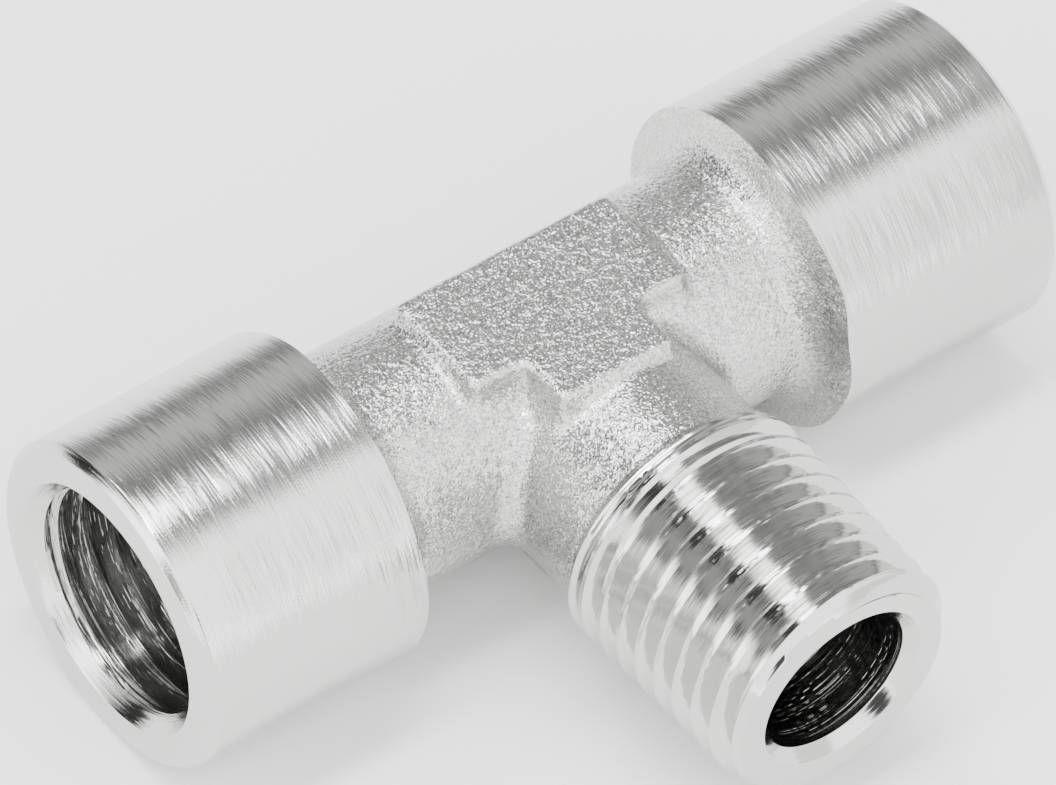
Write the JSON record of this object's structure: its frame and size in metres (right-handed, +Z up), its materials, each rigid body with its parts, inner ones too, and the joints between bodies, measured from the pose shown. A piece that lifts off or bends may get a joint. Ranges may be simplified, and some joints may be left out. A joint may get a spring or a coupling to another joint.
{
  "type": "threaded tee fitting",
  "caption": "Nickel-plated threaded tee fitting with internally threaded run ends and an externally threaded taper branch.",
  "frame": {"origin": "on the surface the fitting lies on, under the middle of its bounding box", "axes": "+X along the run, towards one female end; -Y along the threaded branch; +Z up, square to the plane of both axes"},
  "size_m": [0.0498, 0.0314, 0.0168],
  "materials": {
    "nickel_plate": "nickel plated, turned and threaded at the ends, blasted forging skin in the middle"
  },
  "bodies": {
    "root": {"tee_body": "nickel_plate"}
  },
  "joints": []
}
